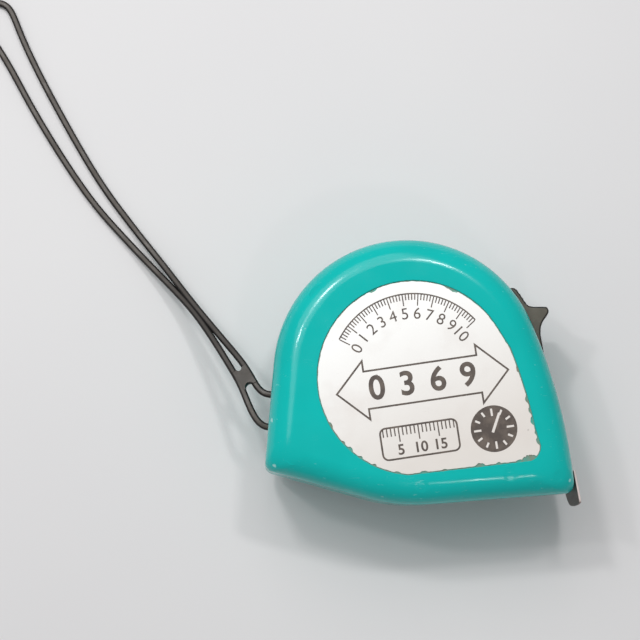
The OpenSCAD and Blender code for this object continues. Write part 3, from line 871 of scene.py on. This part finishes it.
def back_screw(name, centre, head_z, head_r, head_t, shank_r, end_z):
    """Screw driven from the back: a domed head with a cross recess, and a threaded shank."""
    under = head_z + head_t
    dome = [(head_r * 0.35, head_z), (head_r * 0.62, head_z + 0.06), (head_r * 0.84, head_z + 0.22),
            (head_r * 0.96, head_z + 0.5), (head_r, head_z + 0.85), (head_r, under - 0.08),
            (head_r - 0.08, under), (shank_r, under)]
    root_r = shank_r * 0.86
    threads = []
    z = under + 0.5
    while z < end_z - 1.3:
        threads += [(root_r, z), (shank_r, z + 0.22), (shank_r, z + 0.3), (root_r, z + 0.52)]
        z += 0.66
    screw = turned(name, centre, dome + threads + [(root_r, end_z - 0.7), (0.12, end_z)], 40)
    cut(screw, *cross_recess(centre, head_z, head_r * 0.62))
    return smooth(screw, 30)


def case_screws():
    screws = [back_screw("case_screw", centre, BACK_Z + 2.6, 1.8, 1.5, 1.0, 24.0) for centre in SCREWS]
    return join("case_screw_set", *screws)


def clip_screws():
    head_z = BACK_Z - CLIP_T - 1.2
    screws = [back_screw("clip_screw", centre, head_z, 2.2, 1.2, 1.1, 6.8) for centre in CLIP_SCREWS]
    return join("clip_screw_set", *screws)


# ---- lock ----

# Outer edge of the thumb button with its fin, as [angle about the arch's centre, radius]
BUTTON_EDGE = [(4, 32.3), (8, 32.4), (12, 32.6), (15, 33.2), (17, 34.2), (18.6, 35.7), (19.8, 36.4),
               (21.3, 36.4), (22, 35.8), (25, 32.8), (30, 32.5), (33.6, 32.5), (35, 32), (35.5, 31.5)]


def lock_button():
    """Thumb button that hugs the arch, with a fin and a ribbed pad, on its neck."""
    outer = flowing([Vector(e) for e in BUTTON_EDGE], 3)
    outline = [ARCH_C + polar(*p) for p in outer] + arc(ARCH_C, 31.1, 35, 4, 26)
    half, round_r = 6, 0.55
    rings = []
    for side, first, last in ((-1, pi / 2, 0), (1, 0, pi / 2)):
        for a in steps(first, last, 6):
            inner = drawn_in(outline, round_r * (1 - cos(a)))
            rings.append(level(inner, MID_Z + side * (half - round_r * (1 - sin(a)))))
    button = loft("lock_thumb_button", rings)
    section = [(32.2, MID_Z - 5), (32.7, MID_Z - 4.7), (32.7, MID_Z + 4.7), (32.2, MID_Z + 5)]
    for turn in (26.4, 28.4, 30.4, 32.4):
        fuse(button, sector("rib", section, turn, turn + 0.9, 2))
    fuse(button, sector("neck", block_section(28.5, 31.4, 5.6), 9, 32, 20))
    return smooth(button, 34)


def lock_band():
    """Curved brake band behind the window, with the shoe that presses on the blade."""
    band = sector("lock_brake_band", block_section(27, 28.4, 7.5), -44, 62, 60)
    fuse(band, sector("shoe", block_section(27.2, 29.2, 5), -44, -38, 6))
    return smooth(soften(band, 0.2), 34)


# ---- bent sheet metal ----

def rise(w):
    """Rise of the hollow blade at a distance from its middle."""
    return HOLLOW_R - sqrt(HOLLOW_R ** 2 - w * w)


def bent_strip(name, stations, thickness, place, across=18):
    """Strip of sheet metal along a bent line. A station is [point, outward side, half width, press],
    where press gives the rise at a distance across the strip, and place turns a point of the line's
    plane and such a distance into a spot."""
    rings = []
    for point, side, half, press in stations:
        outer, inner = [], []
        for w in steps(-half, half, across):
            face = point + side * press(w)
            outer.append(place(face, w))
            inner.append(place(face - side * thickness, w))
        rings.append(outer + inner[::-1])
    return loft(name, rings)


def rounded_half(half, corner, run):
    """Half width at a distance run from a rounded end."""
    if run >= corner:
        return half
    return half - corner + sqrt(max(corner * corner - (corner - run) ** 2, 0.0))


def leg_spot(down, across, out):
    """Spot of the hook's leg: down from the tongue, across the blade, out of the leg's inner face."""
    lean = radians(LEG_LEAN)
    return spot(HOOK_X + out * cos(lean) + down * sin(lean),
                TONGUE_Y + out * sin(lean) - down * cos(lean), MID_Z + across)


def bowed_centre():
    """How far down the leg the centre of its bowed lower edge lies."""
    return (TONGUE_Y - LEG_TIP_Y) / cos(radians(LEG_LEAN)) - LEG_ARC_R


def leg_corner(radius):
    """Centre and sweep of a corner's arc between the leg's side and its bowed lower edge."""
    run = LEG_ARC_R - radius
    sweep = degrees(asin((HOOK_W / 2 - radius) / run))
    return bowed_centre() + run * cos(radians(sweep)), sweep


def mirrored_across(points):
    """The same points on the other side of the blade's middle line, in reverse order."""
    return [Vector((p.x, -p.y)) for p in points[::-1]]


def leg_plate():
    """Flat leg with an ear on each side of the tongue and a bowed edge, more worn at its far corner."""
    half = HOOK_W / 2
    near_y, near_sweep = leg_corner(LEG_NEAR_R)
    far_y, far_sweep = leg_corner(LEG_FAR_R)
    ear = [Vector((-HOOK_T - rise(w) / 2, w)) for w in (half, 8.6, 7.9, 7.2, 6.95)]
    notch = arc((1.3, 6.75), 0.2, 90, -90, 6)
    top = (ear + notch + [Vector((0.9, 6.5)), Vector((0.9, -6.5))]
           + mirrored_across(notch) + mirrored_across(ear))
    bottom = (arc((far_y, -half + LEG_FAR_R), LEG_FAR_R, 270, 360 - far_sweep, 12)
              + arc((bowed_centre(), 0), LEG_ARC_R, -far_sweep, near_sweep, 16)
              + arc((near_y, half - LEG_NEAR_R), LEG_NEAR_R, near_sweep, 90, 6))
    leg = loft("leg", [[leg_spot(p.x, p.y, out) for p in top + bottom] for out in (0, HOOK_T)])
    return soften(leg, 0.1)


def hook_tongue():
    """Hollow tongue that lies on the blade, with the tight bend that leads into the leg."""
    skin, bend_r, half, flat = 0.02, 0.9, 6.5, 8
    lean = radians(LEG_LEAN)
    side = Vector((cos(lean), sin(lean)))
    upwards = Vector((0, 1))
    face = Vector((HOOK_X, TONGUE_Y)) + HOOK_T * side
    bend_y = TONGUE_Y + HOOK_T - bend_r
    bend_x = face.x + (-bend_r - (bend_y - face.y) * sin(lean)) / cos(lean)
    centre = Vector((bend_x, bend_y))
    start_x, top_y = HOOK_X - 11, TONGUE_Y + HOOK_T - skin
    stations = []
    for run in (0.0, 0.15, 0.4, 0.8, 1.3, 2, 3, 4, 5, 6, 7, flat):
        width = rounded_half(half, 1.5, run + 0.02)
        stations.append((Vector((start_x + run, top_y)), upwards, width, rise))
    for x, share in zip(steps(start_x + flat, bend_x, 4)[1:], steps(1, 0.5, 4)[1:]):
        stations.append((Vector((x, top_y)), upwards, half, lambda w, k=share: rise(w) * k))
    for turn, share in zip(steps(90, LEG_LEAN, 8)[1:], steps(0.5, 0, 8)[1:]):
        stations.append((centre + polar(turn, bend_r - skin), polar(turn, 1), half,
                         lambda w, k=share: rise(w) * k))
    foot = stations[-1][0] + 1.1 * Vector((sin(lean), -cos(lean)))
    stations.append((foot, side, half, lambda w: 0.0))
    tongue = bent_strip("tongue", stations, HOOK_T - 2 * skin, lambda p, w: spot(p.x, p.y, MID_Z + w))
    gap = 0.05
    for x, across in RIVETS:
        slot = (arc((HOOK_X + x + gap, MID_Z + across), RIVET_R + gap, -90, 90, 12)
                + arc((HOOK_X + x - HOOK_PLAY - gap, MID_Z + across), RIVET_R + gap, 90, 270, 12))
        heights = (TONGUE_Y - 1, TONGUE_Y + 3)
        cut(tongue, loft("rivet_slot", [[spot(p.x, y, p.y) for p in slot] for y in heights]))
    return soften(tongue, 0.06)


def end_hook():
    """Hook of bent plate: its tongue, bend and leaning leg in one."""
    hook = fuse(leg_plate(), hook_tongue())
    hook.name = hook.data.name = "end_hook_plate"
    return smooth(hook, 40)


def ramp(run, length):
    """0 at the start of a run, 1 past its length."""
    return min(max(run / length, 0), 1)


def pressed_panel(y):
    """Depth across the clip, at a height y, of the pressed panel that stiffens it."""
    lengthwise = ramp(y - 21.0, 1.2) * ramp(37.0 - y, 1.2)
    return lambda w: -0.3 * lengthwise * ramp(6.2 - abs(w), 1.0)


def clip_line():
    """Middle line of the clip's strip from its screwed end to its lip, as [point, outward side]."""
    bend = radians(CLIP_BEND)
    slope_run = (2.6 - 2 * CLIP_BEND_R * (1 - cos(bend))) / tan(bend)
    lower = Vector((CLIP_HINGE.x - 2 * CLIP_BEND_R * sin(bend) - slope_run, CLIP_T / 2 + CLIP_BEND_R))
    outwards = Vector((0, -1))
    plate_run = CLIP_END - CLIP_HINGE.x
    line = [(Vector((CLIP_END - plate_run * (1 - cos(a)), BACK_Z - CLIP_T / 2)), outwards)
            for a in steps(0, pi / 2, 14)]
    line += [(CLIP_HINGE + polar(turn, CLIP_BEND_R), -polar(turn, 1))
             for turn in steps(90, 90 + CLIP_BEND, 8)[1:]]
    line += [(lower + polar(turn, CLIP_BEND_R), polar(turn, 1)) for turn in steps(CLIP_BEND - 90, -90, 8)]
    flat_end = 18.4
    line += [(Vector((x, CLIP_T / 2)), outwards) for x in steps(line[-1][0].x, flat_end, 24)[1:]]
    lip = ((flat_end, 0.5), (16.8, 0.9), (14.8, 2.0), (13.6, 2.15), (12.4, 1.8), (CLIP_LIP, 0.7))
    lip = flowing([Vector(p) for p in lip], 5)
    for before, point, after in zip(lip, lip[1:], lip[2:] + lip[-1:]):
        along = (after - before).normalized()
        line.append((point, Vector((-along.y, along.x))))
    return line


def belt_clip():
    """Belt clip bent from one strip of spring steel, from its screwed end to its turned-up lip."""
    half = CLIP_W / 2
    stations = []
    for point, side in clip_line():
        width = min(rounded_half(half, 2.5, CLIP_END - point.x + 0.01),
                    rounded_half(half, 3.0, point.x - CLIP_LIP + 0.01))
        stations.append((point + side * CLIP_T / 2, side, width, pressed_panel(point.x)))
    clip = bent_strip("belt_clip_spring", stations, CLIP_T, lambda p, w: spot(CLIP_X + w, p.x, p.y), 40)
    for centre in CLIP_SCREWS:
        cut(clip, turned("clip_hole", centre, [(1.2, 0), (1.2, BACK_Z + 1)], 32))
    return smooth(soften(clip, 0.12), 30)


# ---- blade ----

def blade_strip(name, x0, x1, y):
    """Hollow strip of blade that lies with its hollow side up."""
    across = steps(-BLADE_W / 2, BLADE_W / 2, 28)
    outline = ([(y + rise(w), MID_Z + w) for w in across]
               + [(y + BLADE_T + rise(w), MID_Z + w) for w in across[::-1]])
    return smooth(loft(name, [[spot(x, a, b) for a, b in outline] for x in (x0, x1)]), 40)


def on_hollow(x, w, y):
    """Spot just above the hollow side of a strip whose middle rests at y."""
    return spot(x, y + BLADE_T + rise(w) + 0.012, MID_Z + w)


def blade_tick(x, y, edge, reach):
    """Printed line across the blade at x, from one of its edges (1 or -1) inwards."""
    first = edge * (BLADE_W / 2 - 0.12)
    line = steps(first, first - edge * (reach - 0.24), 12 if reach > 10 else 4)
    ring = [on_hollow(x + 0.09, w, y) for w in line] + [on_hollow(x - 0.09, w, y) for w in line[::-1]]
    return loft("tick", [ring, [p + Vector((0, 0.008 * MM, 0)) for p in ring]])


def blade_number(text, x, y):
    """A number that ends at x, in facets small enough to follow the blade's hollow."""
    number = plain_number(text, 6.2, 0.004, "RIGHT")
    editing(number)
    bpy.ops.mesh.subdivide(number_cuts=4)
    bpy.ops.object.mode_set(mode="OBJECT")
    number.data.transform(Matrix(((-1, 0, 0, 0), (0, 0, 1, 0), (0, 1, 0, 0), (0, 0, 0, 1))))
    for corner in number.data.vertices:
        along, lift, across = corner.co
        corner.co = on_hollow(x, across / MM, y) + Vector((along, lift, 0))
    return number


def blade_scale(x0, x1, y, offset, shown):
    """Ticks and plain numbers printed on a strip, counted in millimetres from the hook at full reach.
    The next strip covers this one beyond x = shown, so numbers stop there."""
    zero = HOOK_X + offset
    first, last = int(zero - x1) + 1, int(zero - x0 - 0.01)
    marks = []
    for mm in range(first, last + 1):
        x = zero - mm
        if x + 0.1 >= x1 or x - 0.1 <= x0:
            continue
        if mm % 10 == 0:
            marks.append(blade_tick(x, y, 1, BLADE_W))
        else:
            reach = 4.4 if mm % 5 == 0 else 3.0
            marks += [blade_tick(x, y, -1, reach), blade_tick(x, y, 1, reach)]
    for mm in range(10 * (first // 10), last + 4, 10):
        text, end = str(mm // 10), zero - mm + 2.95
        if mm and x0 < end and end + 3.4 * len(text) < shown:
            marks.append(blade_number(text, end, y))
    return marks


# ---- wrist strap ----

# Route of the strap's one strand, as in the CAD source: from the back of the pin, out along the upper
# side of the loop, round its far end and home along the lower side
STRAP_ROUTE = [
    (8.1, 25.7, 18.6), (7.4, 27, 18.6), (5.3, 28.3, 18.6), (3.4, 28.2, 18.5), (1.2, 28.6, 18.2),
    (-0.4, 30.2, 17.5), (-1.8, 33.3, 16.6), (-3.4, 36.5, 15.3), (-6.7, 41.3, 12.8), (-11.4, 48, 9.8),
    (-16.3, 55.4, 6.2), (-21, 62.9, 3.2), (-26, 70.2, 1.5), (-30.6, 77.4, 0.9), (-35.6, 85.4, 0.8),
    (-44, 103, 0.8), (-51, 119.4, 0.8), (-53.3, 127.6, 0.8), (-55, 130.4, 0.8), (-58.3, 131.3, 0.8),
    (-61.1, 128.9, 0.8), (-60.9, 125, 0.8), (-56.5, 118, 0.8), (-52.6, 109.2, 0.8), (-48.4, 100, 0.8),
    (-38.8, 82, 0.8), (-32.4, 73.4, 0.9), (-25.8, 65, 1.8), (-19.4, 57.2, 4.6), (-14, 50.2, 8.2),
    (-9.5, 42, 12.2), (-6.6, 36.2, 14.6), (-4.6, 32.1, 16.4), (-3.5, 28.8, 17.3), (-2.5, 25.6, 17.9),
    (-1.2, 22.6, 18.3), (0.6, 20.9, 18.5), (3.3, 20.6, 18.6), (6.4, 22.3, 18.6), (8.1, 25.1, 18.6)]


def strap_path():
    """The route as a smooth curve; each pass evens out its bends a little."""
    path = flowing([spot(*p) for p in STRAP_ROUTE], 5)
    for _ in range(12):
        evened = [(a + 2 * b + c) / 4 for a, b, c in zip(path, path[1:], path[2:])]
        path = [path[0]] + evened + [path[-1]]
    return path


def strand_profile():
    """Cross-section of the strand: flat on top and underneath, with soft corners."""
    half, r = STRAP_D / 2, 0.55
    return [Vector((sx * (half - r), sy * (half - r))) + polar(turn, r)
            for sx, sy, base in ((1, 1, 0), (-1, 1, 90), (-1, -1, 180), (1, -1, 270))
            for turn in (base, base + 30, base + 60, base + 90)]


def wrist_strap():
    path = strap_path()
    profile = strand_profile()
    rings = []
    for before, point, after in zip(path[:1] + path, path, path[1:] + path[-1:]):
        along = (after - before).normalized()
        side = Vector((0, 0, 1)).cross(along).normalized()
        up = along.cross(side)
        rings.append([point + (side * p.x + up * p.y) * MM for p in profile])
    return smooth(loft("wrist_strap_strand", rings), 50), path


def strap_bridge():
    """Web that joins the two strands, with a slot's rounded end on one side and an eye's on the other."""
    half_l, half_w, half_t = 2.7, 1.85, 0.82
    outline = ([Vector((half_l, -half_w))] + arc((half_l, -0.08), 0.66, 270, 90, 8)
               + [Vector((half_l, half_w)), Vector((-half_l, half_w + 0.25))]
               + arc((-half_l, 0.2), 1.05, 90, -90, 10) + [Vector((-half_l, -half_w))])
    web = loft("strap_bridge_web", [[Vector((p.x, p.y, z)) * MM for p in outline] for z in (-half_t, half_t)])
    soften(web, 0.2, angle=60)
    for corner in web.data.vertices:
        x, y = corner.co.x / MM, corner.co.y / MM
        corner.co.z -= 0.12 * max(0.0, -x - 0.5) * max(0.0, 0.5 + y / 2.4) * MM
    turn = Matrix.Rotation(radians(119), 4, "Z") @ Matrix.Rotation(radians(20), 4, "Y")
    web.data.transform(Matrix.Translation(spot(-3.2, 32.8, 16.5)) @ turn)
    return smooth(web, 40)


# ---- floor and light ----

def add_floor(paint):
    bpy.ops.object.select_all(action="DESELECT")
    bpy.ops.mesh.primitive_plane_add(size=3.0)
    floor = bpy.context.object
    floor.name = "floor"
    floor.data.materials.append(paint)


# Window panes that draw the streaks along the case's edge, as [name, turn about the upright axis,
# tilt away from above, width, power]
PANES = [("rear_pane", 147, 31, 0.03, 0.20), ("arch_pane", 120, 31, 0.05, 0.40),
         ("panel_between", 126, 31, 0.12, 0.06), ("lock_side_pane", 66, 25, 0.05, 0.34),
         ("toe_pane", 288, 28, 0.04, 0.09)]


def add_lamp(name, turn, tilt, distance, aim, size, power):
    lamp = bpy.data.lights.new(name, "AREA")
    lamp.shape = "RECTANGLE"
    lamp.size, lamp.size_y = size
    lamp.energy = power
    piece = bpy.data.objects.new(name, lamp)
    across = polar(turn, distance * sin(radians(tilt)))
    place = Vector((across.x, across.y, distance * cos(radians(tilt))))
    towards = (Vector(aim) - place).to_track_quat("-Z", "Y").to_matrix().to_4x4()
    piece.matrix_world = Matrix.Translation(place) @ towards
    bpy.context.scene.collection.objects.link(piece)


def add_daylight():
    """Soft light from all round, with a white background where only the camera sees it."""
    world = bpy.data.worlds.new("daylight")
    bpy.context.scene.world = world
    world.use_nodes = True
    tree = world.node_tree
    background = tree.nodes["Background"]
    rays = tree.nodes.new("ShaderNodeLightPath")
    strength = tree.nodes.new("ShaderNodeMapRange")
    tree.links.new(rays.outputs["Is Camera Ray"], strength.inputs["Value"])
    strength.inputs["To Min"].default_value = 0.30
    strength.inputs["To Max"].default_value = 1.0
    tree.links.new(strength.outputs["Result"], background.inputs["Strength"])
    background.inputs["Color"].default_value = (0.98, 0.99, 1.0, 1)


# ---- assembly ----

def add_strap():
    """The wrist strap and its bridge, both in one vinyl."""
    strap, path = wrist_strap()
    bridge = strap_bridge()
    # The strands' flat tops carry the paler colour as dust and a painted highlight line.
    vinyl = dusty_black_plastic("strap_vinyl", colour(20, 17, 16), colour(76, 69, 62), 2100.0, 0.86, 0.985)
    outfit(strap, "case", "strap_vinyl", vinyl, replaces=["wrist_strap"])
    outfit(bridge, "case", "strap_vinyl", vinyl, replaces=["strap_bridge"])


def add_case():
    """Both halves of the case, and the label with its print."""
    teal = teal_case_plastic()
    front = outfit(front_shell(), "case", "case_teal", teal, grimy_recess_plastic(), replaces=["front_shell"])
    grime_recess(front)
    outfit(rear_shell(), "case", "case_teal", teal, replaces=["rear_shell"])
    outfit(label_sheet(), "case", "label_foil", white_label_sheet(), replaces=["front_label"])
    label_ink = printing_ink("label_ink", colour(78, 68, 62), colour(112, 100, 90))
    outfit(label_print(), "case", "label_foil", label_ink)


def add_lock():
    """The lock's button and its band, moulded in one black plastic."""
    # The faces that face up carry the paler colour as dust and painted light.
    black = dusty_black_plastic("lock_plastic", colour(24, 23, 21), colour(88, 83, 72), 2700.0, 0.90, 0.98)
    outfit(lock_button(), "lock", "lock_black", black, replaces=["lock_button"])
    outfit(lock_band(), "lock", "lock_black", black, replaces=["lock_band"])


def add_blade(enamel):
    """The blade as five nested strips, each one a step higher and drawn out less far than the next."""
    blade_ink = printing_ink("blade_ink", colour(30, 28, 26), colour(60, 56, 50))
    bodies = ["section_1", "section_2", "section_3", "section_4", "tip"]
    for step, body in enumerate(bodies):
        is_tip = body == "tip"
        node = "blade_" + body
        end = MOUTH_X - 0.5 if is_tip else STACK_X + SECTION_L
        y = STACK_Y + step * STACK_PITCH
        strip = blade_strip(node + "_strip", STACK_X, end, y)
        strip.data.materials.append(enamel)
        print_end = min(end, HOOK_X - 11.2)
        shown = print_end if is_tip else STACK_X + SECTION_SEEN
        marks = blade_scale(STACK_X, print_end, y, 80 - 20 * step, shown)
        for mark in marks:
            mark.data.materials.clear()
            mark.data.materials.append(blade_ink)
        strip = join(node + "_strip", strip, *marks)
        outfit(strip, body, "blade_yellow", replaces=[node])


def add_clip(nickel):
    """The clip as one strip that bends between its fixed plate and its arm."""
    clip = belt_clip()
    clip.data.materials.append(nickel)
    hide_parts("clip_plate", "clip_arm")
    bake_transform(clip)


def dress_cad_nodes(finishes):
    """Gives the CAD nodes that stay in sight their materials."""
    for name, finish in finishes.items():
        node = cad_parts[name]
        node.data.materials.clear()
        node.data.materials.append(finish)


def build():
    add_camera()
    add_strap()
    add_case()
    zinc = plated_steel("screw_zinc", (0.55, 0.55, 0.56), (0.32, 0.32, 0.33), (1, 1, 6), 0.5)
    nickel = plated_steel("clip_nickel", (0.66, 0.65, 0.63), (0.50, 0.49, 0.47), (14, 1, 1), 0.25)
    bright = plated_steel("bright_steel", (0.68, 0.68, 0.68), (0.52, 0.52, 0.52), (1, 1, 12))
    spring = plated_steel("spring_steel", (0.40, 0.41, 0.44), (0.26, 0.27, 0.30), (1, 1, 16))
    enamel = blade_enamel()
    outfit(case_screws(), "case", "screw_steel", zinc, replaces=["case_screws"])
    outfit(clip_screws(), "case", "screw_steel", zinc, replaces=["clip_screws"])
    add_lock()
    outfit(end_hook(), "hook", "bright_steel", hook_steel(), replaces=["end_hook"])
    add_blade(enamel)
    add_clip(nickel)
    dress_cad_nodes({
        "centre_post": bright, "strap_pin": bright, "hook_rivets": bright, "blade_anchor": bright,
        "post_screw": zinc,
        "post_washers": moulded_plastic("washer_nylon", (0.78, 0.75, 0.66), (0.70, 0.66, 0.56), 0.4, 2500.0),
        "drum": moulded_plastic("drum_plastic", (0.055, 0.058, 0.062), (0.085, 0.088, 0.092), 0.5, 2200.0),
        "drum_cover": moulded_plastic("cover_plastic", (0.20, 0.23, 0.27), (0.26, 0.29, 0.33), 0.45, 2200.0),
        "blade_coil": enamel,
        "power_spring": spring})
    add_floor(pale_floor_paint())
    add_daylight()
    for name, turn, tilt, width, power in PANES:
        add_lamp(name, turn, tilt, 0.5, (0, 0, 0.02), (width, 0.03), power)
    add_lamp("soft_box", 116, 31, 1.0, (0, 0, 0), (0.95, 0.72), 4.1)


bpy.context.scene.view_settings.view_transform = "Standard"
build()
